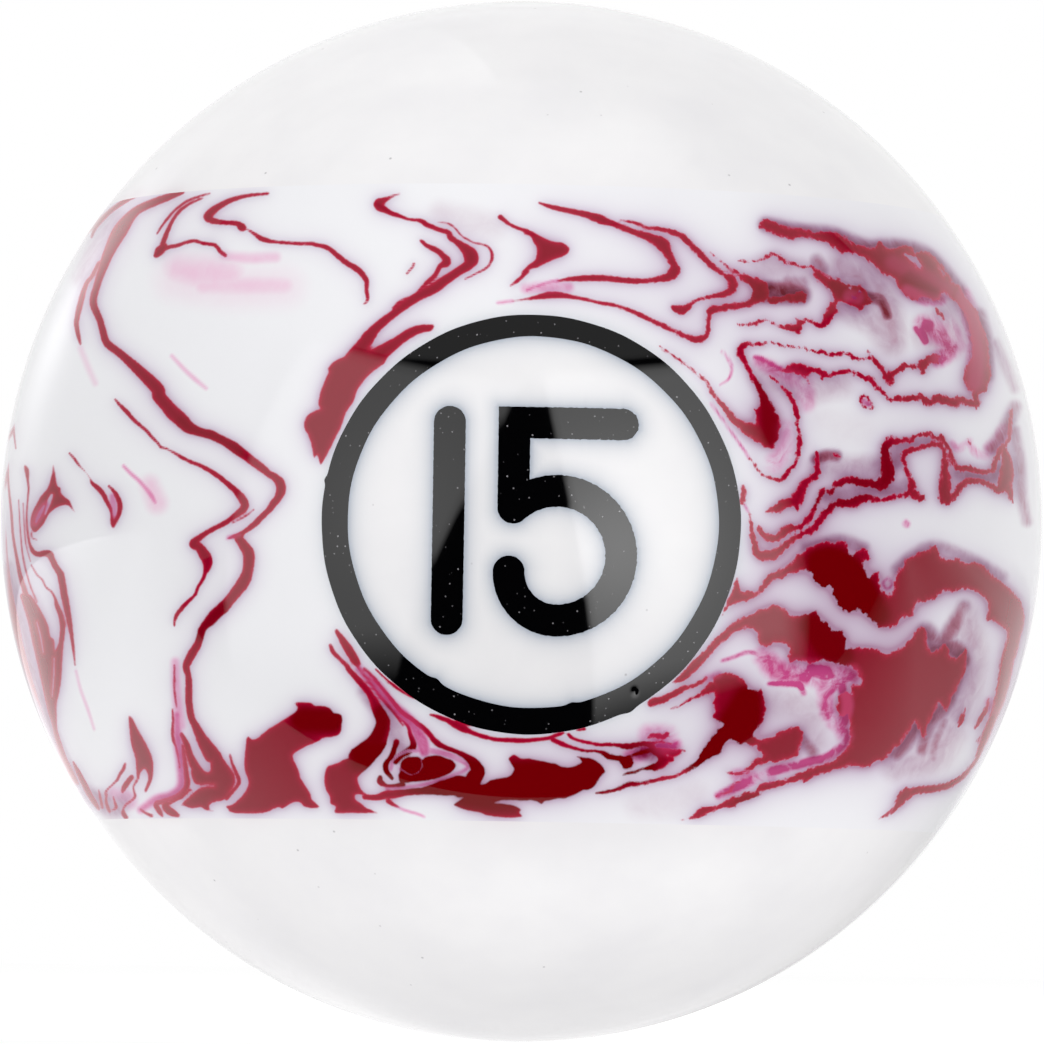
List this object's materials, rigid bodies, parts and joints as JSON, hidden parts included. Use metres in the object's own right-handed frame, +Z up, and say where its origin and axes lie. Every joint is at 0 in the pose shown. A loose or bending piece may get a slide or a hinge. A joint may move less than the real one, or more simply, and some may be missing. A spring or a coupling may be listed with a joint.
{
  "type": "striped pool ball",
  "caption": "Glossy resin pool ball with white caps, a wide marbled stripe and a number inlaid in a ringed disc on two opposite sides.",
  "frame": {"origin": "centre of the ball", "axes": "+Z up the stripe's axis, through the middle of the upper cap; -Y out of the front number; +X to the right as the front number is read"},
  "size_m": [0.0572, 0.0572, 0.0572],
  "materials": {
    "white_resin": "cast white phenolic resin, ground and polished",
    "marbled_resin": "cast white phenolic resin with folded burgundy and pink dye, ground and polished",
    "black_resin": "cast black phenolic resin, ground and polished"
  },
  "bodies": {
    "root": {"core": "white_resin", "marbled_stripe": "marbled_resin", "upper_cap": "white_resin", "lower_cap": "white_resin", "front_number_ring": "black_resin", "front_number_disc": "white_resin", "front_digit_one": "black_resin", "front_digit_five": "black_resin", "back_number_ring": "black_resin", "back_number_disc": "white_resin", "back_digit_one": "black_resin", "back_digit_five": "black_resin"}
  },
  "joints": []
}
